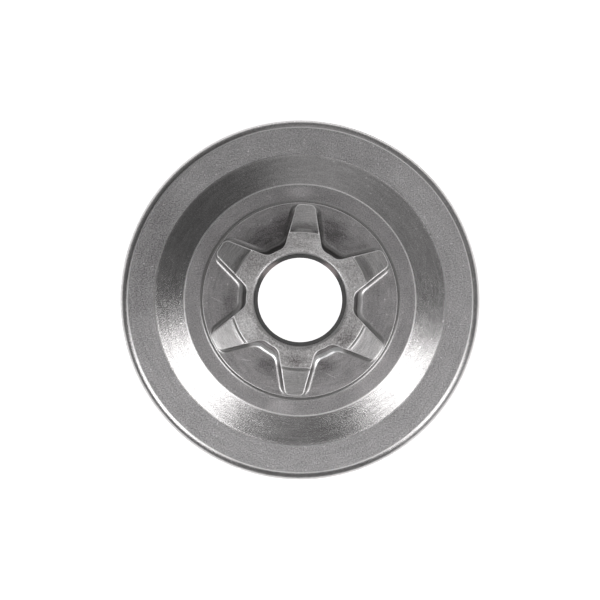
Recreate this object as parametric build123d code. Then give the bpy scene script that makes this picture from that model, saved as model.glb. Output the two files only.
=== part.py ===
from build123d import *
import os
from math import radians, tan

# A chainsaw clutch drum with its chain sprocket, made as one piece of steel.
# Millimetres. +Z runs along the axis from the open rim to the sprocket, the origin is on the axis in the
# plane of the open rim, and one tooth points along +Y.

# Cup: the clutch shoes press on its inside, and the brake band runs around its outside
clutch_diameter = 54.0
drum_wall = 2.45
drum_height = 16.0
web_thickness = 3.0
rim_rounding = 1.5
cup_corner_rounding = 1.5
mouth_chamfer = 0.4

# Closed end: a flat annulus, a shallow cone that rises to a flat ring, and a low disc under the teeth
cone_width = 4.8
cone_rise = 1.2
cone_foot_rounding = 2.0
cone_crest_rounding = 1.0
ring_width = 2.42
disc_step = 1.2
disc_foot_rounding = 0.6
disc_edge_rounding = 0.15
disc_land = 0.03

# Sprocket: straight-sided teeth around a bored hub, which stands a small step above the tooth faces
# and carries its bore on into the cup as a short boss
tooth_count = 6
tooth_depth = 6.45
tooth_height = 7.2
tooth_tip_width = 2.8
tooth_flank_angle = 12.0
tooth_flank_draft = 1.5
tooth_root_draft = 7.5
tooth_face_angle = 5.0
tooth_tip_rounding = 0.85
tooth_root_rounding = 1.6
tooth_root_flare = 5.0
tooth_foot_rounding = 0.8
tooth_edge_rounding = 0.15
bore_diameter = 14.0
bore_chamfer = 0.25
boss_wall = 2.4
boss_height = 1.2
boss_foot_rounding = 0.5
hub_wall = 1.2
hub_shoulder = 2.17
hub_step = 0.8
hub_step_rounding = 0.55

# How far a cutter reaches past the faces that it cuts
cutter_overrun = 2.0

# Radii, from the bore outwards
bore_radius = bore_diameter / 2
boss_radius = bore_radius + boss_wall
root_radius = bore_radius + hub_wall
hub_radius = root_radius + hub_shoulder
tip_radius = root_radius + tooth_depth
disc_radius = tip_radius + tooth_foot_rounding + disc_land + disc_edge_rounding
ring_inner_radius = disc_radius + disc_foot_rounding
cone_crest_radius = ring_inner_radius + ring_width
cone_foot_radius = cone_crest_radius + cone_width
clutch_radius = clutch_diameter / 2
drum_radius = clutch_radius + drum_wall

# Heights, from the open rim upwards
web_z = drum_height - web_thickness
boss_z = web_z - boss_height
ring_z = drum_height + cone_rise
disc_z = ring_z + disc_step
tooth_face_z = disc_z + tooth_height
hub_z = tooth_face_z + hub_step


def corner_near(face: Sketch, radius: float, height: float) -> Vertex:
    """Finds the corner of a section that lies nearest to a radius and a height."""
    return face.vertices().sort_by_distance(Vector(radius, 0, height))[0]


def turned_section() -> Sketch:
    """Draws half of the turned section, from the bore out to the brake face, before the pockets are cut."""
    face_drop = (disc_radius - hub_radius) * tan(radians(tooth_face_angle))
    outline = Polyline(
        (bore_radius, 0, boss_z),
        (boss_radius, 0, boss_z),
        (boss_radius, 0, web_z),
        (clutch_radius, 0, web_z),
        (clutch_radius, 0, 0),
        (drum_radius, 0, 0),
        (drum_radius, 0, drum_height),
        (cone_foot_radius, 0, drum_height),
        (cone_crest_radius, 0, ring_z),
        (disc_radius, 0, ring_z),
        (disc_radius, 0, tooth_face_z - face_drop),
        (hub_radius, 0, tooth_face_z),
        (hub_radius, 0, hub_z),
        (bore_radius, 0, hub_z),
        close=True,
    )
    section = make_face(outline)
    roundings = (
        (boss_radius, web_z, boss_foot_rounding),
        (clutch_radius, web_z, cup_corner_rounding),
        (drum_radius, drum_height, rim_rounding),
        (cone_foot_radius, drum_height, cone_foot_rounding),
        (cone_crest_radius, ring_z, cone_crest_rounding),
        (disc_radius, ring_z, disc_foot_rounding),
        (hub_radius, tooth_face_z, hub_step_rounding),
    )
    for radius, height, rounding in roundings:
        section = fillet(corner_near(section, radius, height), rounding)
    chamfers = (
        (clutch_radius, 0, mouth_chamfer),
        (drum_radius, 0, mouth_chamfer),
        (bore_radius, boss_z, bore_chamfer),
        (boss_radius, boss_z, bore_chamfer),
        (bore_radius, hub_z, bore_chamfer),
    )
    for radius, height, width in chamfers:
        section = chamfer(corner_near(section, radius, height), width)
    return section


def star_outline(height: float) -> Sketch:
    """Draws the sprocket's outline at a height: a root circle with straight-sided teeth, its corners rounded."""
    depth = hub_z - height
    root = root_radius + depth * tan(radians(tooth_root_draft))
    half_tip = tooth_tip_width / 2 + depth * tan(radians(tooth_flank_draft))
    half_base = half_tip + tip_radius * tan(radians(tooth_flank_angle))
    root_rounding = tooth_root_rounding + depth * tan(radians(tooth_root_flare))
    tooth = make_face(
        Polyline((-half_base, 0), (half_base, 0), (half_tip, tip_radius), (-half_tip, tip_radius), close=True)
    )
    star = Circle(root) + PolarLocations(0, tooth_count) * tooth
    star = star & Circle(tip_radius)
    middle_radius = (root_radius + tip_radius) / 2
    root_corners = star.vertices().filter_by(lambda corner: corner.center().length < middle_radius)
    star = fillet(root_corners, root_rounding)
    tip_corners = star.vertices().filter_by(lambda corner: corner.center().length > middle_radius)
    return Pos(0, 0, height) * fillet(tip_corners, tooth_tip_rounding)


def pocket_cutter() -> Part:
    """Makes the solid that clears the pockets: a ring around the drafted star, its lower inner edge rounded."""
    cutter_z = hub_z + cutter_overrun
    star = loft([star_outline(disc_z), star_outline(cutter_z)], ruled=True)
    cutter = extrude(Pos(0, 0, disc_z) * Circle(disc_radius + cutter_overrun), cutter_z - disc_z) - star
    floor = cutter.faces().sort_by(Axis.Z)[0]
    return fillet(floor.inner_wires()[0].edges(), tooth_foot_rounding)


def rounded_disc_edge(drum: Part) -> Part:
    """Rounds the edge of the low disc that the teeth stand on."""
    flats = drum.faces().filter_by(Axis.Z)
    disc_face = flats.sort_by(lambda face: abs(face.center().Z - disc_z))[0]
    return fillet(disc_face.outer_wire().edges(), disc_edge_rounding)


def rounded_tooth_edges(drum: Part) -> Part:
    """Rounds the top edges of the hub and of every tooth, apart from the foot of the step between them."""
    hub_face = drum.faces().filter_by(Axis.Z).sort_by(Axis.Z)[-1]
    edges = hub_face.outer_wire().edges()
    cones = drum.faces().filter_by(GeomType.CONE)
    for tooth_face in cones.filter_by(lambda face: disc_z < face.center().Z < tooth_face_z):
        edges += tooth_face.edges().sort_by_distance(Vector(0, 0, tooth_face_z))[1:]
    return fillet(edges, tooth_edge_rounding)


drum = revolve(turned_section(), Axis.Z) - pocket_cutter()
drum = rounded_disc_edge(drum)
drum = rounded_tooth_edges(drum)
drum.label = "clutch_drum_sprocket"

os.makedirs("parts", exist_ok=True)
export_step(drum, f"parts/{drum.label}.step")
print(f"{drum.label}: valid {drum.is_valid}, volume {drum.volume:.1f} mm3, box {drum.bounding_box().size}")
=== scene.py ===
import logging
from collections.abc import Mapping, Sequence
from dataclasses import dataclass, replace
from enum import Enum
from math import acos, asin, atan2, cos, pi, radians, sin, tan

import bmesh
import bpy
import numpy as np
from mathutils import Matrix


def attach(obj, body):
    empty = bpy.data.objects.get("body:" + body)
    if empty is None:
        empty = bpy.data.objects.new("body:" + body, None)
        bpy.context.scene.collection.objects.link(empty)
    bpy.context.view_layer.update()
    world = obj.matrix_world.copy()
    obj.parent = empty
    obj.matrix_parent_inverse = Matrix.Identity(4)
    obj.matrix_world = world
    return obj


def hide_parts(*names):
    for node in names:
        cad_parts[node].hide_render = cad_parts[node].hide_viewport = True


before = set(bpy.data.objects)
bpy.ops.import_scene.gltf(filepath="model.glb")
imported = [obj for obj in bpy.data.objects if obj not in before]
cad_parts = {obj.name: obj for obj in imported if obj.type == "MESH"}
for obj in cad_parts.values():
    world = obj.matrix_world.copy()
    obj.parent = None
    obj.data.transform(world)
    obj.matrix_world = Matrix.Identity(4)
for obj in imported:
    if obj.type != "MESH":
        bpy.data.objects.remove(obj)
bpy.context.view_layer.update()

# A chainsaw clutch drum with its sprocket lies on its open rim on a white table and is seen along its
# axis. Its mesh is made here in rows that follow the turned section and the sprocket's outline, so that
# every turned, blasted, faced or worn band has a finish of its own. Sizes are in millimetres until the
# mesh is made.

CAD_NODE = "clutch_drum_sprocket"
CAD_BODY = "root"
LOG = logging.getLogger("clutch_drum")
MILLIMETRE = 0.001
# Points of the mesh that are closer than this are one point, in millimetres
MERGE_DISTANCE = 0.0005
# The picture: its width in pixels, the sensor's width in millimetres, and the part's turn in degrees
IMAGE_PIXELS = 600
SENSOR_WIDTH = 36.0
PICTURE_TURN = 3.6
# The steel's patterns: how many finer patterns lie on each, and how strongly they do
GRAIN_DETAIL = 2.0
PATCH_DETAIL = 3.0
LINE_DETAIL = 1.0
DETAIL_STRENGTH = 0.6
# The mean of a pattern, the tone that it then gives, the darkest tone, and the change in roughness
PATTERN_MEAN = 0.5
MIDDLE_TONE = 0.5
DARKEST_TONE = -0.6
ROUGHNESS_SPREAD = 0.08
# How far a speck keeps its full shade and how far it reaches, as shares of its facet
SPECK_CORE = 0.1
SPECK_REACH = 0.5
# Numbers of a Mix node's colour sockets, whose names repeat for every type of data
FIRST_COLOUR = 6
SECOND_COLOUR = 7
MIXED_COLOUR = 2


class Band(Enum):
    """The finishes of the surface, numbered as the mesh's material slots."""

    BLASTED = 0
    RING = 1
    TURNED = 2
    FACED = 3
    LINED = 4
    MILLED = 5
    FLOOR = 6
    # Worn edges, also painted near white as a highlight
    WORN = 7
    HONED = 8
    # Walls painted dark as shade, with painted highlights
    GRIMED = 9
    GROUND = 10


@dataclass(frozen=True)
class Corner:
    """A corner of a turned section line, in millimetres.

    Attributes:
        radius: Distance from the axis.
        height: Height above the open rim.
        after: Finish of the straight that follows the corner.
        rounding: Radius that softens the corner, or nothing for a plain corner.
        edge: Finish of the rounding.
        steps: Spans that the rounding is divided into.
        spans: Spans that the straight after the corner is divided into.
        lead: Finish of the rounding's first spans.
        lead_steps: How many of its spans have that finish.
    """

    radius: float
    height: float
    after: Band
    rounding: float = 0.0
    edge: Band = Band.WORN
    steps: int = 4
    spans: int = 1
    lead: Band = Band.WORN
    lead_steps: int = 0


@dataclass(frozen=True)
class Station:
    """A point of a section line, with the finish of the band from it to the next point."""

    radius: float
    height: float
    band: Band


@dataclass(frozen=True)
class Row:
    """A ring of mesh points around the axis, with the finish of the band from it to the next ring."""

    points: np.ndarray
    band: Band


def toward(turn: np.ndarray | float) -> np.ndarray:
    """Gives unit vectors for clockwise turns from +Y, in radians."""
    return np.stack((np.sin(turn), np.cos(turn)), axis=-1)


def unit(vector: np.ndarray) -> np.ndarray:
    """Scales a vector to a length of one."""
    return vector / np.linalg.norm(vector)


def rounded_corner(before: np.ndarray, here: np.ndarray, after: np.ndarray, corner: Corner) -> np.ndarray:
    """Gives the points of one rounded corner.

    Args:
        before: The corner before it, as radius and height.
        here: The corner itself.
        after: The corner after it.
        corner: Its rounding and number of steps.

    Returns:
        The points of the rounding, from its start to its end.
    """
    back = unit(before - here)
    ahead = unit(after - here)
    half = acos(float(back @ ahead)) / 2
    centre = here + unit(back + ahead) * corner.rounding / sin(half)
    reach = corner.rounding / tan(half)
    start = here + back * reach - centre
    end = here + ahead * reach - centre
    first = atan2(start[1], start[0])
    sweep = (atan2(end[1], end[0]) - first + pi) % (2 * pi) - pi
    angles = first + sweep * np.linspace(0, 1, corner.steps + 1)
    return centre + corner.rounding * np.stack((np.cos(angles), np.sin(angles)), axis=-1)


def section_line(corners: Sequence[Corner]) -> list[Station]:
    """Rounds the corners of a section line and divides its straights.

    Args:
        corners: The line's corners in order. The first and the last are plain.

    Returns:
        The line's stations in order, each with the band that follows it.
    """
    spots = [np.array((corner.radius, corner.height)) for corner in corners]
    arcs = []
    for index, corner in enumerate(corners):
        if corner.rounding:
            arcs.append(rounded_corner(spots[index - 1], spots[index], spots[index + 1], corner))
        else:
            arcs.append(spots[index][None, :])
    stations = []
    for corner, arc, following in zip(corners, arcs, arcs[1:] + [arcs[-1][-1:]]):
        for step, point in enumerate(arc[:-1]):
            band = corner.lead if step < corner.lead_steps else corner.edge
            stations.append(Station(*point, band))
        for share in np.arange(corner.spans) / corner.spans:
            stations.append(Station(*(arc[-1] + share * (following[0] - arc[-1])), corner.after))
    return stations


@dataclass(frozen=True)
class SprocketOutline:
    """The sprocket's outline, a root circle with straight-sided teeth and rounded corners. In millimetres."""

    tooth_count: int = 6
    root_radius: float = 8.2
    tip_radius: float = 14.65
    tip_width: float = 2.8
    flank_angle: float = 12.0
    tip_rounding: float = 0.85
    root_rounding: float = 1.6
    flank_draft: float = 1.5
    root_draft: float = 7.5
    root_flare: float = 5.0
    tip_spans: int = 4
    corner_spans: int = 7
    root_spans: int = 8
    floor_spans: int = 4

    @property
    def normal(self) -> np.ndarray:
        """The direction that the clockwise flank of the tooth along +Y faces."""
        return toward(pi / 2 - radians(self.flank_angle))

    @property
    def flank_distance(self) -> float:
        """How far the line of a flank passes from the axis."""
        return float(self.normal @ np.array((self.tip_width / 2, self.tip_radius)))

    @property
    def tip_turn(self) -> float:
        """The turn from the middle of a tooth to the centre of its tip corner."""
        reach = (self.flank_distance - self.tip_rounding) / (self.tip_radius - self.tip_rounding)
        return asin(reach) - radians(self.flank_angle)

    @property
    def root_turn(self) -> float:
        """The turn from the middle of a tooth to the centre of its root rounding."""
        reach = (self.flank_distance + self.root_rounding) / (self.root_radius + self.root_rounding)
        return asin(reach) - radians(self.flank_angle)

    def below(self, depth: float) -> "SprocketOutline":
        """Gives the outline that the sloping walls have at a depth below the hub's top, in millimetres."""
        return replace(
            self,
            root_radius=self.root_radius + depth * tan(radians(self.root_draft)),
            root_rounding=self.root_rounding + depth * tan(radians(self.root_flare)),
            tip_width=self.tip_width + 2 * depth * tan(radians(self.flank_draft)),
        )

    def flank_ends(self, offset: float) -> tuple[np.ndarray, np.ndarray]:
        """Gives the two ends of a flank.

        Args:
            offset: How far outside the outline the flank lies.

        Returns:
            The end at the tip corner and the end at the root rounding.
        """
        tip_centre = (self.tip_radius - self.tip_rounding) * toward(self.tip_turn)
        root_centre = (self.root_radius + self.root_rounding) * toward(self.root_turn)
        outer = tip_centre + (self.tip_rounding + offset) * self.normal
        inner = root_centre - (self.root_rounding - offset) * self.normal
        return outer, inner

    def flank_share(self, radius: float, offset: float) -> float:
        """Finds where a flank crosses a circle, as a share of its length from the tip.

        Args:
            radius: The circle's radius.
            offset: How far outside the outline the flank lies.

        Returns:
            The share, from 0 at the tip corner to 1 at the root rounding.
        """
        outer, inner = self.flank_ends(offset)
        run = inner - outer
        middle = -float(outer @ run) / float(run @ run)
        spread = middle**2 - (float(outer @ outer) - radius**2) / float(run @ run)
        return middle - spread**0.5

    def half_tooth(self, offset: float, flank_shares: np.ndarray) -> np.ndarray:
        """Gives the outline from the middle of the tip of the +Y tooth to the middle of the next root.

        Args:
            offset: How far outside the outline the points lie.
            flank_shares: Where the flank has points, as shares of its length from the tip.

        Returns:
            The points in order, as an array of x and y.
        """
        face_turn = pi / 2 - radians(self.flank_angle)
        pitch = pi / self.tooth_count
        outer, inner = self.flank_ends(offset)
        tip_centre = (self.tip_radius - self.tip_rounding) * toward(self.tip_turn)
        root_centre = (self.root_radius + self.root_rounding) * toward(self.root_turn)
        tip_turns = np.linspace(0, self.tip_turn, self.tip_spans, endpoint=False)
        corner_turns = np.linspace(self.tip_turn, face_turn, self.corner_spans, endpoint=False)
        root_turns = np.linspace(face_turn + pi, self.root_turn + pi, self.root_spans, endpoint=False)
        floor_turns = np.linspace(self.root_turn, pitch, self.floor_spans + 1)
        return np.concatenate((
            (self.tip_radius + offset) * toward(tip_turns),
            tip_centre + (self.tip_rounding + offset) * toward(corner_turns),
            outer + flank_shares[:, None] * (inner - outer),
            root_centre + (self.root_rounding - offset) * toward(root_turns),
            (self.root_radius + offset) * toward(floor_turns),
        ))

    def loop(self, offset: float, flank_shares: np.ndarray) -> np.ndarray:
        """Gives the whole outline, clockwise from the middle of the +Y tooth.

        Args:
            offset: How far outside the outline the points lie.
            flank_shares: Where each flank has points, as shares of its length from the tip.

        Returns:
            The points in order, as an array of x and y.
        """
        clockwise_half = self.half_tooth(offset, flank_shares)
        other_half = (clockwise_half * (-1, 1))[-2:0:-1]
        pitch = 2 * pi / self.tooth_count
        parts = []
        for tooth in range(self.tooth_count):
            for half, turn in ((clockwise_half, tooth * pitch), (other_half, (tooth + 1) * pitch)):
                across = half[:, :1] * toward(turn + pi / 2)
                along = half[:, 1:] * toward(turn)
                parts.append(across + along)
        return np.concatenate(parts)


@dataclass(frozen=True)
class Sprocket:
    """The hub, the teeth and the pockets between them, down to the low disc that they stand on."""

    outline: SprocketOutline = SprocketOutline()
    bore_radius: float = 7.0
    bore_chamfer: float = 0.25
    hub_radius: float = 10.37
    hub_height: float = 26.4
    step_draft: float = 0.06
    step_rounding: float = 0.55
    face_height: float = 25.6
    face_angle: float = 5.0
    floor_height: float = 18.4
    floor_radius: float = 15.47
    edge_rounding: float = 0.15
    foot_rounding: float = 0.8
    edge_steps: int = 4
    cove_steps: int = 6
    foot_steps: int = 7
    wall_spans: int = 4
    hub_spans: int = 5
    face_spans: int = 6
    pocket_spans: int = 6

    def top_line(self) -> list[Station]:
        """Gives the section of the hub's top, its step and the tooth faces, from the bore outwards."""
        step_foot = self.hub_radius + self.step_draft
        tip = self.outline.tip_radius
        tip_height = self.face_height - (tip - step_foot) * tan(radians(self.face_angle))
        return section_line((
            Corner(self.bore_radius + self.bore_chamfer, self.hub_height, Band.FACED),
            Corner(self.hub_radius, self.hub_height, Band.WORN, self.edge_rounding, steps=self.edge_steps),
            Corner(
                step_foot, self.face_height, Band.LINED, self.step_rounding, Band.MILLED, self.cove_steps
            ),
            Corner(tip, tip_height, Band.LINED),
        ))

    def flank_shares(self) -> np.ndarray:
        """Gives the places of the points along a flank: evenly spread, and one where the step needs it."""
        radii = [station.radius for station in self.top_line()[1:-1]]
        step_shares = [self.outline.flank_share(radius, -self.edge_rounding) for radius in radii]
        face_shares = np.linspace(0, min(step_shares), self.face_spans, endpoint=False)
        hub_shares = np.linspace(max(step_shares), 1, self.hub_spans)[1:-1]
        return np.concatenate((face_shares, sorted(step_shares), hub_shares))

    def top_loop(self) -> np.ndarray:
        """Gives the inner side of the rounding around the sprocket's top."""
        return self.outline.loop(-self.edge_rounding, self.flank_shares())

    def foot_loop(self) -> np.ndarray:
        """Gives the outer side of the rounding at the foot of the teeth."""
        floor_outline = self.outline.below(self.hub_height - self.floor_height)
        return floor_outline.loop(self.foot_rounding, self.flank_shares())

    def top_rows(self) -> list[Row]:
        """Gives the rows of the hub's top and the tooth faces, from the bore to the top's rounded edge."""
        line = self.top_line()
        radii = np.array([station.radius for station in line])
        heights = np.array([station.height for station in line])
        edge = self.top_loop()
        reach = np.linalg.norm(edge, axis=1)
        inner, step, outer = radii[0], radii[1:-1], radii[-2]
        rows = []
        for share in np.linspace(0, 1, self.hub_spans, endpoint=False):
            rows.append((inner + share * (np.minimum(step[0], reach) - inner), Band.FACED))
        for station in line[1:-1]:
            rows.append((np.minimum(station.radius, reach), station.band))
        for share in np.linspace(0, 1, self.face_spans + 1)[1:-1]:
            rows.append((np.where(reach > outer, outer + share * (reach - outer), reach), Band.LINED))
        finished = []
        for distance, band in rows:
            flat = edge * (distance / reach)[:, None]
            finished.append(Row(np.column_stack((flat, np.interp(distance, radii, heights))), band))
        return finished

    def side_rows(self) -> list[Row]:
        """Gives the rows of the top's rounded edge, the walls, the rounded foot and the pocket floors."""
        line = self.top_line()
        shares = self.flank_shares()
        reach = np.linalg.norm(self.top_loop(), axis=1)
        radii = [station.radius for station in line]
        top = np.interp(reach, radii, [station.height for station in line])
        rows = []
        for turn in np.linspace(0, pi / 2, self.edge_steps + 1):
            flat = self.outline.loop(self.edge_rounding * (sin(turn) - 1), shares)
            height = top - self.edge_rounding * (1 - cos(turn))
            rows.append(Row(np.column_stack((flat, height)), Band.WORN if turn < pi / 2 else Band.GRIMED))
        foot = []
        for turn in np.linspace(0, pi / 2, self.foot_steps + 1):
            height = self.floor_height + self.foot_rounding * (1 - sin(turn))
            outline = self.outline.below(self.hub_height - height)
            flat = outline.loop(self.foot_rounding * (1 - cos(turn)), shares)
            points = np.column_stack((flat, np.full(len(flat), height)))
            foot.append(Row(points, Band.MILLED if turn < pi / 2 else Band.FLOOR))
        edge_end = rows[-1].points
        for share in np.linspace(0, 1, self.wall_spans, endpoint=False)[1:]:
            rows.append(Row(edge_end + share * (foot[0].points - edge_end), Band.GRIMED))
        rows += foot
        rim = self.foot_loop()
        distance = np.linalg.norm(rim, axis=1)
        for share in np.linspace(0, 1, self.pocket_spans, endpoint=False)[1:]:
            flat = rim * (1 + share * (self.floor_radius / distance - 1))[:, None]
            rows.append(Row(np.column_stack((flat, np.full(len(rim), self.floor_height))), Band.FLOOR))
        return rows


@dataclass(frozen=True)
class Cup:
    """The turned cup: its closed end with the ring and the cone, its wall, its inside and its bore."""

    disc_radius: float = 15.63
    disc_height: float = 18.4
    disc_edge_rounding: float = 0.15
    disc_foot_rounding: float = 0.6
    ring_height: float = 17.2
    cone_crest_radius: float = 18.65
    cone_crest_rounding: float = 1.0
    cone_foot_radius: float = 23.45
    cone_foot_rounding: float = 2.0
    drum_radius: float = 29.44
    drum_height: float = 16.0
    rim_rounding: float = 1.5
    mouth_chamfer: float = 0.4
    clutch_radius: float = 27.0
    web_height: float = 13.0
    corner_rounding: float = 1.5
    boss_radius: float = 9.4
    boss_height: float = 11.8
    boss_foot_rounding: float = 0.5
    bore_radius: float = 7.0
    bore_chamfer: float = 0.25
    hub_height: float = 26.4
    soft_edge: float = 0.05
    soft_steps: int = 2
    disc_lip: float = 0.01
    web_gap: float = 1.0

    def outside_line(self) -> list[Station]:
        """Gives the section from the low disc's edge over the ring, cone and rim to the open mouth."""
        mouth_out = self.drum_radius - self.mouth_chamfer
        mouth_in = self.clutch_radius + self.mouth_chamfer
        disc = self.disc_radius
        crest = self.cone_crest_radius
        foot = self.cone_foot_radius
        rim = self.drum_radius
        clutch = self.clutch_radius
        soft = self.soft_edge
        steps = self.soft_steps
        return section_line((
            Corner(disc - self.disc_edge_rounding - self.disc_lip, self.disc_height, Band.FLOOR),
            Corner(disc, self.disc_height, Band.GRIMED, self.disc_edge_rounding, steps=5),
            Corner(
                disc, self.ring_height, Band.RING, self.disc_foot_rounding, Band.MILLED,
                steps=7, spans=3, lead=Band.GRIMED, lead_steps=3,
            ),
            Corner(crest, self.ring_height, Band.TURNED, self.cone_crest_rounding, steps=5, spans=5),
            Corner(
                foot, self.drum_height, Band.BLASTED, self.cone_foot_rounding, Band.TURNED, steps=6, spans=5
            ),
            Corner(
                rim, self.drum_height, Band.GROUND, self.rim_rounding, Band.TURNED,
                steps=12, spans=5, lead=Band.WORN, lead_steps=1,
            ),
            Corner(rim, self.mouth_chamfer, Band.TURNED, soft, steps=steps),
            Corner(mouth_out, 0.0, Band.TURNED, soft, steps=steps),
            Corner(mouth_in, 0.0, Band.TURNED, soft, steps=steps),
            Corner(clutch, self.mouth_chamfer, Band.GROUND, soft, steps=steps, spans=4),
            Corner(clutch, self.web_height, Band.TURNED, self.corner_rounding, Band.TURNED, steps=7),
            Corner(self.boss_radius, self.web_height, Band.TURNED),
        ))[:-1]

    def inside_line(self) -> list[Station]:
        """Gives the section from the web's underside over the boss and up the bore to the hub's top."""
        chamfer = self.bore_chamfer
        start = self.clutch_radius - self.corner_rounding - self.web_gap
        boss = self.boss_radius
        bore = self.bore_radius
        soft = self.soft_edge
        steps = self.soft_steps
        return section_line((
            Corner(start, self.web_height, Band.TURNED, spans=6),
            Corner(boss, self.web_height, Band.TURNED, self.boss_foot_rounding, Band.TURNED, steps=4),
            Corner(boss, self.boss_height + chamfer, Band.TURNED, soft, steps=steps),
            Corner(boss - chamfer, self.boss_height, Band.TURNED, soft, steps=steps),
            Corner(bore + chamfer, self.boss_height, Band.TURNED, soft, steps=steps),
            Corner(bore, self.boss_height + chamfer, Band.HONED, soft, steps=steps, spans=6),
            Corner(bore, self.hub_height - chamfer, Band.WORN, soft, steps=steps),
            Corner(bore + chamfer, self.hub_height, Band.FACED),
        ))[:-1]


def linear_colour(hex_colour: str) -> tuple[float, float, float, float]:
    """Turns an sRGB colour such as "#b4b2b0" into linear values with full opacity."""
    values = [int(hex_colour[place:place + 2], 16) / 255 for place in (1, 3, 5)]
    linear = [v / 12.92 if v <= 0.04045 else ((v + 0.055) / 1.055) ** 2.4 for v in values]
    return (*linear, 1.0)


def add_node(
    tree: bpy.types.NodeTree,
    kind: str,
    settings: Mapping[str | int, object] | None = None,
    links: Mapping[str | int, bpy.types.NodeSocket] | None = None,
) -> bpy.types.Node:
    """Adds a node with its settings and links.

    Args:
        tree: The tree that gets the node.
        kind: Blender's name for the kind of node.
        settings: The node's own properties by name, and the values of its inputs by name or number.
        links: The sockets that feed its inputs, by the input's name or number.

    Returns:
        The new node.
    """
    node = tree.nodes.new(kind)
    for name, value in (settings or {}).items():
        if isinstance(name, str) and hasattr(node, name):
            setattr(node, name, value)
        else:
            node.inputs[name].default_value = value
    for name, socket in (links or {}).items():
        tree.links.new(socket, node.inputs[name])
    return node


@dataclass(frozen=True)
class Mark:
    """A stain, a smudge or a scratch on the steel, or a patch of painted shade or painted light on it, placed
    as it is seen from above.

    Attributes:
        turn: Clockwise turn of its middle from the top of the picture, in degrees.
        radius: Distance of its middle from the axis, in millimetres.
        length: Its length, in millimetres.
        width: Its width, in millimetres.
        shade: How much lighter, or darker below nought, it leaves the steel.
        lean: Turn of its length away from the circle around the axis, in degrees.
        ragged: How far its edge wanders, as a share of its size.
        core: Share of its size that has the full shade.
    """

    turn: float
    radius: float
    length: float
    width: float
    shade: float
    lean: float = 0.0
    ragged: float = 0.6
    core: float = 0.3

    def draw(
        self, tree: bpy.types.NodeTree, place: bpy.types.NodeSocket, wander: bpy.types.NodeSocket
    ) -> bpy.types.NodeSocket:
        """Draws the mark.

        Args:
            tree: The material's tree.
            place: The position on the part.
            wander: A broad pattern that the mark's edge follows.

        Returns:
            How much lighter or darker the steel is at a place.
        """
        turn = radians(self.turn - PICTURE_TURN)
        half_sizes = (self.length / 2 * MILLIMETRE, self.width / 2 * MILLIMETRE, 1.0)
        spot = add_node(
            tree,
            "ShaderNodeMapping",
            {
                "vector_type": "TEXTURE",
                "Location": (*(self.radius * MILLIMETRE * toward(turn)), 0.0),
                "Rotation": (0.0, 0.0, radians(self.lean) - turn),
                "Scale": half_sizes,
            },
            {"Vector": place},
        )
        far = add_node(tree, "ShaderNodeVectorMath", {"operation": "LENGTH"}, {0: spot.outputs[0]})
        edge = add_node(
            tree,
            "ShaderNodeMath",
            {"operation": "MULTIPLY_ADD", 1: self.ragged},
            {0: wander, 2: far.outputs["Value"]},
        )
        offset = self.ragged / 2
        limits = {
            "From Min": self.core + offset,
            "From Max": 1.0 + offset,
            "To Min": self.shade,
            "To Max": 0.0,
        }
        fade = {"interpolation_type": "SMOOTHSTEP", **limits}
        return add_node(tree, "ShaderNodeMapRange", fade, {"Value": edge.outputs[0]}).outputs["Result"]


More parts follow.
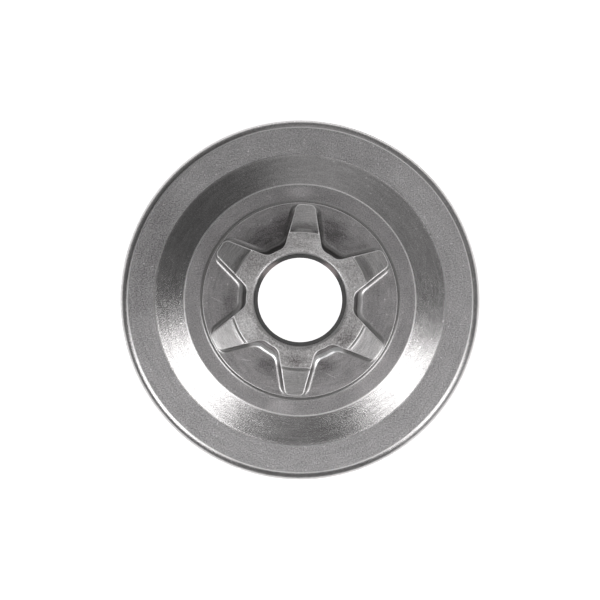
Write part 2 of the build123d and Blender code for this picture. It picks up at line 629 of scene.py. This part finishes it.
@dataclass(frozen=True)
class SteelFinish:
    """One finish of the bare steel.

    Attributes:
        name: The material's name.
        light: The steel's colour where its surface catches the light.
        dark: The steel's colour in its grain and marks.
        roughness: How much the surface spreads reflections.
        grain: Width of the surface's grain, in millimetres.
        grain_contrast: How strongly the grain shows in the colour.
        grain_depth: Depth of the grain, in millimetres.
        lines: Spacing of the tool's lines around the axis, in millimetres.
        line_breaks: How often a line changes on its way around the axis.
        line_contrast: How strongly the lines show in the colour.
        line_depth: Depth of the lines, in millimetres.
        patch_size: Width of the broad patches, in millimetres.
        patch_contrast: How strongly the broad patches show in the colour.
        speck_share: Share of the surface's facets that shows as light specks, which are painted glints.
        speck_size: Width of a facet, in millimetres.
        speck_shade: How much lighter a speck is.
        tints_edges: Whether the colour also tints reflections at a grazing angle.
        marks: The stains and scratches, and the patches of painted shade and painted light, on this finish.
    """

    name: str
    light: str
    dark: str
    roughness: float
    grain: float = 0.28
    grain_contrast: float = 1.4
    grain_depth: float = 0.02
    lines: float = 0.3
    line_breaks: float = 6.0
    line_contrast: float = 0.0
    line_depth: float = 0.0
    patch_size: float = 3.0
    patch_contrast: float = 0.4
    speck_share: float = 0.0
    speck_size: float = 0.45
    speck_shade: float = 0.6
    tints_edges: bool = False
    marks: tuple[Mark, ...] = ()

    def material(self) -> bpy.types.Material:
        """Makes the finish as a material with grain, tool lines, patches, specks and marks."""
        material = bpy.data.materials.new(self.name)
        material.use_nodes = True
        tree = material.node_tree
        tree.nodes.clear()
        place = add_node(tree, "ShaderNodeTexCoord").outputs["Object"]
        grain = self.noise(tree, place, self.grain, GRAIN_DETAIL)
        patch = self.noise(tree, place, self.patch_size, PATCH_DETAIL)
        line = self.tool_lines(tree, place)
        patterns = ((grain, self.grain_contrast), (patch, self.patch_contrast), (line, self.line_contrast))
        additions = [mark.draw(tree, place, patch) for mark in self.marks]
        if self.speck_share:
            additions.append(self.specks(tree, place))
        colours = {
            "data_type": "RGBA",
            "clamp_factor": False,
            FIRST_COLOUR: linear_colour(self.dark),
            SECOND_COLOUR: linear_colour(self.light),
        }
        colour = add_node(tree, "ShaderNodeMix", colours, {0: self.tone(tree, patterns, additions)})
        grain_relief = {"Distance": self.grain_depth * MILLIMETRE}
        relief = add_node(tree, "ShaderNodeBump", grain_relief, {"Height": grain})
        if self.line_depth:
            line_relief = {"Distance": self.line_depth * MILLIMETRE}
            links = {"Height": line, "Normal": relief.outputs[0]}
            relief = add_node(tree, "ShaderNodeBump", line_relief, links)
        smoothest = self.roughness * (1 - ROUGHNESS_SPREAD)
        roughest = self.roughness * (1 + ROUGHNESS_SPREAD)
        spread = {"To Min": smoothest, "To Max": roughest}
        rough = add_node(tree, "ShaderNodeMapRange", spread, {"Value": patch})
        feeds = {
            "Base Color": colour.outputs[MIXED_COLOUR],
            "Roughness": rough.outputs[0],
            "Normal": relief.outputs[0],
        }
        if self.tints_edges:
            feeds["Specular Tint"] = colour.outputs[MIXED_COLOUR]
        shader = add_node(tree, "ShaderNodeBsdfPrincipled", {"Metallic": 1.0}, feeds)
        add_node(tree, "ShaderNodeOutputMaterial", {}, {"Surface": shader.outputs[0]})
        return material

    @staticmethod
    def noise(
        tree: bpy.types.NodeTree, place: bpy.types.NodeSocket, width: float, detail: float
    ) -> bpy.types.NodeSocket:
        """Draws an irregular pattern.

        Args:
            tree: The material's tree.
            place: The position on the part.
            width: Width of the pattern's patches, in millimetres.
            detail: How many finer patterns lie on it.

        Returns:
            The pattern, between 0 and 1.
        """
        settings = {"Scale": 1 / (width * MILLIMETRE), "Detail": detail, "Roughness": DETAIL_STRENGTH}
        return add_node(tree, "ShaderNodeTexNoise", settings, {"Vector": place}).outputs[0]

    def tool_lines(self, tree: bpy.types.NodeTree, place: bpy.types.NodeSocket) -> bpy.types.NodeSocket:
        """Draws the lines that a lathe tool leaves around the axis.

        Args:
            tree: The material's tree.
            place: The position on the part.

        Returns:
            The lines' height, between 0 and 1.
        """
        level = {"operation": "MULTIPLY", 1: (1.0, 1.0, 0.0)}
        flat = add_node(tree, "ShaderNodeVectorMath", level, {0: place})
        radius = add_node(tree, "ShaderNodeVectorMath", {"operation": "LENGTH"}, {0: flat.outputs[0]})
        around = add_node(tree, "ShaderNodeVectorMath", {"operation": "NORMALIZE"}, {0: flat.outputs[0]})
        height = add_node(tree, "ShaderNodeSeparateXYZ", {}, {0: place})
        fall = {0: radius.outputs["Value"], 1: height.outputs["Z"]}
        along = add_node(tree, "ShaderNodeMath", {"operation": "SUBTRACT"}, fall)
        spacing = {"operation": "DIVIDE", 1: self.lines * MILLIMETRE}
        count = add_node(tree, "ShaderNodeMath", spacing, {0: along.outputs[0]})
        breaks = {"operation": "SCALE", "Scale": self.line_breaks}
        stretched = add_node(tree, "ShaderNodeVectorMath", breaks, {0: around.outputs[0]})
        sides = add_node(tree, "ShaderNodeSeparateXYZ", {}, {0: stretched.outputs[0]})
        parts = {"X": count.outputs[0], "Y": sides.outputs["X"], "Z": sides.outputs["Y"]}
        spot = add_node(tree, "ShaderNodeCombineXYZ", {}, parts)
        settings = {"Scale": 1.0, "Detail": LINE_DETAIL}
        return add_node(tree, "ShaderNodeTexNoise", settings, {"Vector": spot.outputs[0]}).outputs[0]

    def specks(self, tree: bpy.types.NodeTree, place: bpy.types.NodeSocket) -> bpy.types.NodeSocket:
        """Draws small light specks, painted glints where single facets of the surface catch the light.

        Args:
            tree: The material's tree.
            place: The position on the part.

        Returns:
            How much lighter the steel is at a place.
        """
        spread = {"Scale": 1 / (self.speck_size * MILLIMETRE)}
        cells = add_node(tree, "ShaderNodeTexVoronoi", spread, {"Vector": place})
        chance = add_node(tree, "ShaderNodeSeparateColor", {}, {0: cells.outputs["Color"]})
        pick = {"operation": "LESS_THAN", 1: self.speck_share}
        chosen = add_node(tree, "ShaderNodeMath", pick, {0: chance.outputs[0]})
        limits = {
            "From Min": SPECK_CORE,
            "From Max": SPECK_REACH,
            "To Min": self.speck_shade,
            "To Max": 0.0,
        }
        near = add_node(tree, "ShaderNodeMapRange", limits, {"Value": cells.outputs["Distance"]})
        both = {0: chosen.outputs[0], 1: near.outputs[0]}
        return add_node(tree, "ShaderNodeMath", {"operation": "MULTIPLY"}, both).outputs[0]

    @staticmethod
    def tone(
        tree: bpy.types.NodeTree,
        patterns: Sequence[tuple[bpy.types.NodeSocket, float]],
        additions: Sequence[bpy.types.NodeSocket],
    ) -> bpy.types.NodeSocket:
        """Adds up what makes the steel lighter or darker.

        Args:
            tree: The material's tree.
            patterns: The patterns, each with its contrast.
            additions: What the marks and specks add to them.

        Returns:
            The tone, 0 for the dark colour and 1 for the light one, or a little beyond them.
        """
        base = MIDDLE_TONE - PATTERN_MEAN * sum(contrast for _, contrast in patterns)
        (first, first_contrast), *others = patterns
        settings = {"operation": "MULTIPLY_ADD", 1: first_contrast, 2: base}
        total = add_node(tree, "ShaderNodeMath", settings, {0: first}).outputs[0]
        for pattern, contrast in others:
            settings = {"operation": "MULTIPLY_ADD", 1: contrast}
            total = add_node(tree, "ShaderNodeMath", settings, {0: pattern, 2: total}).outputs[0]
        for addition in additions:
            both = {0: total, 1: addition}
            total = add_node(tree, "ShaderNodeMath", {"operation": "ADD"}, both).outputs[0]
        limit = {"operation": "MAXIMUM", 1: DARKEST_TONE}
        return add_node(tree, "ShaderNodeMath", limit, {0: total}).outputs[0]


# The grain of every finish is drawn coarser and deeper than the real one, so that it shows at this distance.
# A mark gives its turn, radius, length, width and shade, in that order.
# Blasted steel: an even grey with a fine salt-and-pepper grain and a few light specks, painted glints,
# with a painted patch of light at the upper right and painted shade along the left and upper left
BLASTED_STEEL = SteelFinish(
    "blasted_steel", "#cecccd", "#a09e9f", 0.52, grain=0.2, grain_contrast=4.4, grain_depth=0.035, lines=0.5,
    line_contrast=0.6, patch_contrast=0.6, speck_share=0.06, speck_shade=0.8,
    marks=(Mark(50.0, 25.3, 26.0, 8.0, 0.2), Mark(287.0, 25.3, 40.0, 11.0, -0.5, ragged=0.1, core=0.0)),
)
# Handled steel: the same grain, duller and smoother where hands and tools have touched it
# and a painted pool of light on the lower right of the ring
RING_STEEL = SteelFinish(
    "handled_steel", "#bcb9ba", "#9a9899", 0.40, grain=0.2, grain_contrast=4.4, lines=0.5, line_contrast=0.7,
    patch_contrast=0.8, speck_share=0.04, speck_shade=0.8,
    marks=(
        Mark(190.0, 17.6, 5.8, 3.2, 0.7, ragged=0.9, core=0.4), Mark(0.0, 17.4, 6.5, 2.6, 0.6),
        Mark(135.0, 17.2, 14.0, 6.0, 0.6, ragged=0.2, core=0.3),
    ),
)
# Turned steel: a satin cone with the tool's short streaks, whose grain sparkles where its highlights end
# and painted light on the bottom of the cone
TURNED_STEEL = SteelFinish(
    "turned_steel", "#cfcdcd", "#a4a2a2", 0.26, grain=0.18, grain_contrast=2.2, grain_depth=0.016,
    lines=0.45, line_contrast=0.8, patch_contrast=0.6, speck_share=0.03, speck_shade=1.0,
    marks=(Mark(193.0, 21.6, 9.0, 4.4, 0.3, core=0.0),),
)
# Faced steel: the hub's top, a bright fine-grained cut with a few dark smudges
# and a painted highlight on the lower left of the hub
FACED_STEEL = SteelFinish(
    "faced_steel", "#dcdada", "#a6a3a3", 0.50, grain=0.21, grain_contrast=3.0, grain_depth=0.035, lines=0.4,
    line_contrast=0.9, speck_share=0.06, speck_shade=0.8,
    marks=(
        Mark(184.0, 9.3, 5.0, 3.4, -0.7, ragged=0.05, core=0.0),
        Mark(130.0, 9.1, 5.6, 3.6, -0.8, ragged=0.05, core=0.0), Mark(244.0, 9.0, 5.6, 3.8, 0.6),
        Mark(30.0, 8.6, 8.0, 4.0, 0.5), Mark(312.0, 9.0, 6.0, 4.0, -0.4, ragged=0.2),
    ),
)
# Lined steel: the tooth faces, where the lathe tool's lines show as a fine hatch
# Painted shadow along the hub's step on the three upper teeth, and darker patches further out on three faces
LINED_STEEL = SteelFinish(
    "lined_steel", "#d8d6d6", "#aeacac", 0.30, grain=0.18, grain_contrast=1.8, lines=0.13, line_breaks=8.0,
    line_contrast=1.6, line_depth=0.014,
    marks=(
        Mark(3.6, 10.8, 9.0, 3.2, -1.3, ragged=0.15, core=0.2),
        Mark(303.6, 10.8, 7.0, 2.2, -0.5, ragged=0.2),
        Mark(63.6, 10.9, 7.0, 2.8, -0.9, ragged=0.2), Mark(123.6, 12.8, 6.0, 6.0, -0.4, core=0.6),
        Mark(183.6, 12.8, 6.0, 6.0, -0.4, core=0.6), Mark(63.6, 12.9, 6.0, 5.0, -0.3, core=0.6),
    ),
)
# Milled steel: the rounded feet of the teeth, smooth from the cutter
# Painted shade beside the upper tooth and in the upper pockets, painted highlights in the other pockets
MILLED_STEEL = SteelFinish(
    "milled_steel", "#c8c6c6", "#989696", 0.30, grain=0.2, grain_contrast=1.4, grain_depth=0.008,
    marks=(
        Mark(333.6, 9.6, 9.0, 4.0, -0.5, ragged=0.1, core=0.5),
        Mark(33.6, 9.6, 9.0, 4.0, -0.3, ragged=0.1, core=0.5),
        Mark(352.0, 12.4, 3.4, 7.0, -0.8, ragged=0.1, core=0.5),
        Mark(15.0, 12.4, 3.4, 7.0, -0.8, ragged=0.1, core=0.5),
        Mark(93.6, 9.8, 8.0, 3.4, 1.0, ragged=0.1, core=0.5),
        Mark(153.6, 9.8, 8.0, 3.4, 2.4, ragged=0.1, core=0.5),
        Mark(213.6, 9.8, 8.0, 3.4, 2.4, ragged=0.1, core=0.5),
        Mark(273.6, 9.8, 8.0, 3.4, 0.7, ragged=0.1, core=0.5),
    ),
)
# End-milled steel: the pocket floors, with the mottle, arcs and scratches that the cutter's end leaves
# Painted shadow beyond the upper tooth's tip and beside it, painted shade near the other pockets' roots
FLOOR_STEEL = SteelFinish(
    "end_milled_steel", "#cac7c8", "#9c999a", 0.32, grain=0.2, grain_contrast=2.4, grain_depth=0.03,
    lines=0.4, line_contrast=1.0, patch_size=1.6, patch_contrast=1.0, speck_share=0.04, speck_shade=0.9,
    marks=(
        Mark(3.6, 15.3, 4.2, 1.4, -1.2, core=0.2),
        Mark(349.0, 12.2, 6.0, 8.0, -0.8, ragged=0.1, core=0.0),
        Mark(332.0, 11.4, 10.0, 7.0, -0.9, ragged=0.1, core=0.1),
        Mark(26.0, 11.8, 9.0, 7.0, -0.9, ragged=0.1, core=0.0),
        Mark(160.0, 11.6, 6.0, 4.6, -0.7, ragged=0.1, core=0.0),
        Mark(207.0, 11.6, 6.0, 4.6, -0.7, ragged=0.1, core=0.0),
        Mark(268.0, 11.4, 6.0, 3.6, -0.5, ragged=0.1, core=0.0),
        Mark(222.0, 12.9, 2.6, 0.22, 0.9, lean=35.0, ragged=0.2),
        Mark(270.0, 13.2, 3.2, 0.2, 0.8, lean=62.0, ragged=0.2),
        Mark(158.0, 13.0, 3.0, 0.2, 0.8, lean=-48.0, ragged=0.2),
    ),
)
# Worn edges: the brightest steel, rubbed bare by handling and painted near white as a highlight all round
WORN_GLINT_STEEL = SteelFinish(
    "worn_edge_painted_highlight", "#fbf9f9", "#d8d6d6", 0.32, grain=0.2, grain_contrast=2.0, grain_depth=0.012
)
# Honed bore: smooth dark steel, which tints its reflections too and so stays dim even at a grazing angle,
# with painted reflections of the softboxes as light crescents at the upper right and upper left
HONED_STEEL = SteelFinish(
    "honed_bore_steel", "#3e3b3b", "#2b2929", 0.36, grain_contrast=0.8, tints_edges=True,
    marks=(Mark(45.0, 7.0, 5.0, 3.0, 12.0, core=0.2), Mark(315.0, 7.0, 5.5, 3.0, 12.0, core=0.2)),
)
# Shaded walls: the upright walls of the teeth and of the low disc, painted dark as shade,
# with painted highlights in the two lower pockets and on the low disc's edge at the lower left and right
SHADED_WALL_STEEL = SteelFinish(
    "painted_shade_wall_steel", "#5c5959", "#3a3838", 0.42, grain_contrast=1.2, grain_depth=0.01,
    marks=(
        Mark(153.6, 9.6, 8.0, 3.0, 4.0, ragged=0.1, core=0.5),
        Mark(213.6, 9.6, 8.0, 3.0, 4.0, ragged=0.1, core=0.5),
        Mark(115.0, 15.9, 11.0, 2.6, 3.0, ragged=0.1, core=0.5),
        Mark(140.0, 15.9, 11.0, 2.6, 3.0, ragged=0.1, core=0.5),
        Mark(222.0, 15.9, 11.0, 2.6, 3.0, ragged=0.1, core=0.5),
        Mark(247.0, 15.9, 11.0, 2.6, 3.0, ragged=0.1, core=0.5),
    ),
)
# Ground steel: the brake face and the clutch face, dulled by fine lines around the axis
GROUND_STEEL = SteelFinish(
    "ground_steel", "#a4a2a2", "#838181", 0.34, grain=0.2, grain_contrast=1.4, grain_depth=0.012, lines=0.3,
    line_breaks=4.0, line_contrast=1.2,
)
FINISHES = {
    Band.BLASTED: BLASTED_STEEL,
    Band.RING: RING_STEEL,
    Band.TURNED: TURNED_STEEL,
    Band.FACED: FACED_STEEL,
    Band.LINED: LINED_STEEL,
    Band.MILLED: MILLED_STEEL,
    Band.FLOOR: FLOOR_STEEL,
    Band.WORN: WORN_GLINT_STEEL,
    Band.HONED: HONED_STEEL,
    Band.GRIMED: SHADED_WALL_STEEL,
    Band.GROUND: GROUND_STEEL,
}


@dataclass(frozen=True)
class ClutchDrum:
    """The whole piece: the sprocket and the cup as one closed mesh."""

    sprocket: Sprocket = Sprocket()
    cup: Cup = Cup()
    name: str = "clutch_drum_sprocket_dressed"
    easing_rows: int = 6

    def rows(self) -> list[Row]:
        """Gives the rings of the whole surface, from the hub's top out, down, inside and up the bore."""
        top = self.sprocket.top_loop()
        foot = self.sprocket.foot_loop()
        top_turns = np.unwrap(np.arctan2(top[:, 0], top[:, 1]))
        foot_turns = np.unwrap(np.arctan2(foot[:, 0], foot[:, 1]))
        rows = self.sprocket.top_rows() + self.sprocket.side_rows()
        for station in self.cup.outside_line():
            rows.append(self.turned_row(station, foot_turns))
        inside = self.cup.inside_line()
        for index, station in enumerate(inside):
            share = min(1.0, index / self.easing_rows)
            rows.append(self.turned_row(station, foot_turns + share * (top_turns - foot_turns)))
        return rows

    @staticmethod
    def turned_row(station: Station, turns: np.ndarray) -> Row:
        """Gives the ring of one station of the turned section.

        Args:
            station: The station's radius, height and band.
            turns: The clockwise turns of the ring's points.

        Returns:
            The ring.
        """
        flat = station.radius * toward(turns)
        return Row(np.column_stack((flat, np.full(len(turns), station.height))), station.band)

    def build(self) -> bpy.types.Object:
        """Makes the closed mesh from its rings and shades it smooth."""
        rows = self.rows()
        count = len(rows[0].points)
        points = np.concatenate([row.points for row in rows]) * MILLIMETRE
        columns = np.arange(count)
        after = np.roll(columns, -1)
        faces = []
        bands = []
        for index, row in enumerate(rows):
            here = index * count
            beyond = (index + 1) % len(rows) * count
            faces.append(np.column_stack((here + columns, here + after, beyond + after, beyond + columns)))
            bands += [row.band.value] * count
        mesh = bpy.data.meshes.new(self.name)
        mesh.from_pydata(points.tolist(), [], np.concatenate(faces).tolist())
        mesh.polygons.foreach_set("material_index", bands)
        mesh.polygons.foreach_set("use_smooth", [True] * len(bands))
        self.merge_points(mesh)
        piece = bpy.data.objects.new(self.name, mesh)
        bpy.context.scene.collection.objects.link(piece)
        piece.modifiers.new("even_shading", "WEIGHTED_NORMAL")
        return piece

    @staticmethod
    def merge_points(mesh: bpy.types.Mesh) -> None:
        """Joins the points that lie on each other where a row runs out at the edge of a tooth."""
        work = bmesh.new()
        work.from_mesh(mesh)
        bmesh.ops.remove_doubles(work, verts=work.verts, dist=MERGE_DISTANCE * MILLIMETRE)
        work.to_mesh(mesh)
        work.free()

    def dress(self, piece: bpy.types.Object) -> None:
        """Gives the piece its finishes, in the order of the bands."""
        for band in Band:
            piece.data.materials.append(FINISHES[band].material())

    def attach(self, piece: bpy.types.Object) -> None:
        """Lets the piece stand for the CAD solid and move with its body."""
        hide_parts(CAD_NODE)
        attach(piece, CAD_BODY)


@dataclass(frozen=True)
class Softbox:
    """A soft studio light that faces the part.

    Attributes:
        name: The light's name.
        turn: Clockwise turn from the top of the picture, in degrees.
        tilt: Angle from straight above, in degrees.
        distance: Distance from the part, in metres.
        width: Width across, in metres.
        height: Height, in metres.
        brightness: Brightness of its face, where 1 is white in the picture.
    """

    name: str
    turn: float
    tilt: float
    distance: float
    width: float
    height: float
    brightness: float

    def place(self) -> bpy.types.Object:
        """Makes the light and points it at the part."""
        light = bpy.data.lights.new(self.name, "AREA")
        light.shape = "RECTANGLE"
        light.size = self.width
        light.size_y = self.height
        light.energy = self.brightness * pi * self.width * self.height
        lamp = bpy.data.objects.new(self.name, light)
        turn = radians(self.turn - PICTURE_TURN)
        tilt = radians(self.tilt)
        flat = toward(turn) * sin(tilt) * self.distance
        lamp.location = (flat[0], flat[1], cos(tilt) * self.distance)
        lamp.rotation_euler = (-tilt, 0.0, -turn)
        lamp.visible_camera = False
        bpy.context.scene.collection.objects.link(lamp)
        return lamp


@dataclass(frozen=True)
class Table:
    """The white table that the part lies on, lit so that it shows as plain white.

    It lies a hair below the rim, so that the two faces don't coincide, and is clear from below, so that
    the inside of the cup can be seen.
    """

    half_size: float = 1.5
    drop: float = 0.05
    colour: str = "#f7f7f7"
    roughness: float = 0.6
    glow: float = 1.02

    def build(self) -> bpy.types.Object:
        """Makes the table's top as a flat sheet under the part's rim."""
        mesh = bpy.data.meshes.new("table")
        signs = ((-1, -1), (1, -1), (1, 1), (-1, 1))
        corners = [(x * self.half_size, y * self.half_size, -self.drop * MILLIMETRE) for x, y in signs]
        mesh.from_pydata(corners, [], [(0, 1, 2, 3)])
        table = bpy.data.objects.new("table", mesh)
        bpy.context.scene.collection.objects.link(table)
        material = bpy.data.materials.new("lit_white_acrylic")
        material.use_nodes = True
        tree = material.node_tree
        shader = tree.nodes["Principled BSDF"]
        shader.inputs["Base Color"].default_value = linear_colour(self.colour)
        shader.inputs["Roughness"].default_value = self.roughness
        shader.inputs["Emission Color"].default_value = linear_colour(self.colour)
        shader.inputs["Emission Strength"].default_value = self.glow
        below = add_node(tree, "ShaderNodeNewGeometry").outputs["Backfacing"]
        clear = add_node(tree, "ShaderNodeBsdfTransparent").outputs[0]
        sides = {0: below, 1: shader.outputs[0], 2: clear}
        either = add_node(tree, "ShaderNodeMixShader", {}, sides)
        tree.links.new(either.outputs[0], tree.nodes["Material Output"].inputs["Surface"])
        mesh.materials.append(material)
        return table


@dataclass(frozen=True)
class Viewpoint:
    """The camera, which looks straight down the part's axis. Sizes are in millimetres."""

    distance: float = 148.0
    hub_height: float = 26.4
    pixel: float = 0.1516
    nearest: float = 10.0

    def place(self) -> bpy.types.Object:
        """Makes the camera above the hub and takes it as the scene's own."""
        camera = bpy.data.cameras.new("camera")
        camera.sensor_width = SENSOR_WIDTH
        camera.lens = SENSOR_WIDTH * self.distance / (self.pixel * IMAGE_PIXELS)
        camera.clip_start = self.nearest * MILLIMETRE
        view = bpy.data.objects.new("camera", camera)
        view.location = (0.0, 0.0, (self.hub_height + self.distance) * MILLIMETRE)
        view.rotation_euler = (0.0, 0.0, radians(PICTURE_TURN))
        bpy.context.scene.collection.objects.link(view)
        bpy.context.scene.camera = view
        return view


@dataclass(frozen=True)
class Studio:
    """The table, the softboxes and the dim room around them."""

    table: Table = Table()
    # A light gives its name, turn, tilt, distance, width, height and brightness, in that order
    lights: tuple[Softbox, ...] = (
        Softbox("softbox_right", 128.0, 36.0, 0.6, 0.20, 0.26, 3.5),
        Softbox("softbox_left", 233.0, 35.0, 0.6, 0.23, 0.26, 3.6),
        Softbox("right_top", 132.0, 17.0, 0.8, 0.20, 0.18, 0.9),
        Softbox("left_top", 228.0, 17.0, 0.8, 0.20, 0.18, 0.88),
        Softbox("back_top", 45.0, 15.0, 0.8, 0.28, 0.10, 1.05),
        Softbox("front_fill", 182.0, 32.0, 0.8, 0.22, 0.30, 0.2),
        Softbox("back_wall", 8.0, 34.0, 0.8, 0.36, 0.58, 0.34),
        Softbox("right_low", 126.0, 62.0, 0.8, 0.44, 0.40, 0.4),
        Softbox("side_wall", 62.0, 42.0, 0.8, 0.60, 0.34, 0.2),
    )
    ceiling: str = "#555555"
    walls: str = "#8c8c8c"
    backdrop: str = "#ffffff"
    walls_end: float = 0.3
    ceiling_start: float = 0.75

    def build(self) -> None:
        """Makes the table, the lights and the room."""
        self.table.build()
        LOG.info("table")
        for light in self.lights:
            light.place()
            LOG.info("light %s", light.name)
        self.build_room()
        bpy.context.scene.view_settings.view_transform = "Standard"

    def build_room(self) -> None:
        """Makes the dim room, whose walls are paler than its ceiling, behind a white backdrop."""
        world = bpy.data.worlds.new("dim_room")
        world.use_nodes = True
        tree = world.node_tree
        place = add_node(tree, "ShaderNodeTexCoord").outputs["Generated"]
        height = add_node(tree, "ShaderNodeSeparateXYZ", {}, {0: place}).outputs["Z"]
        limits = {"From Min": self.walls_end, "From Max": self.ceiling_start}
        rise = add_node(tree, "ShaderNodeMapRange", limits, {"Value": height})
        colours = {
            "data_type": "RGBA",
            FIRST_COLOUR: linear_colour(self.walls),
            SECOND_COLOUR: linear_colour(self.ceiling),
        }
        colour = add_node(tree, "ShaderNodeMix", colours, {0: rise.outputs[0]})
        seen = add_node(tree, "ShaderNodeLightPath").outputs["Is Camera Ray"]
        white = {"data_type": "RGBA", SECOND_COLOUR: linear_colour(self.backdrop)}
        choice = {0: seen, FIRST_COLOUR: colour.outputs[MIXED_COLOUR]}
        view = add_node(tree, "ShaderNodeMix", white, choice)
        tree.links.new(view.outputs[MIXED_COLOUR], tree.nodes["Background"].inputs["Color"])
        bpy.context.scene.world = world


def main() -> None:
    """Builds the drum, the studio and the camera, and logs the drum's face count and the camera's height."""
    drum = ClutchDrum()
    piece = drum.build()
    drum.dress(piece)
    drum.attach(piece)
    LOG.info("%s: %d faces", piece.name, len(piece.data.polygons))
    Studio().build()
    view = Viewpoint().place()
    LOG.info("camera at %.4f m", view.location.z)


if __name__ == "__main__":
    logging.basicConfig(level=logging.INFO, format="%(message)s")
    main()
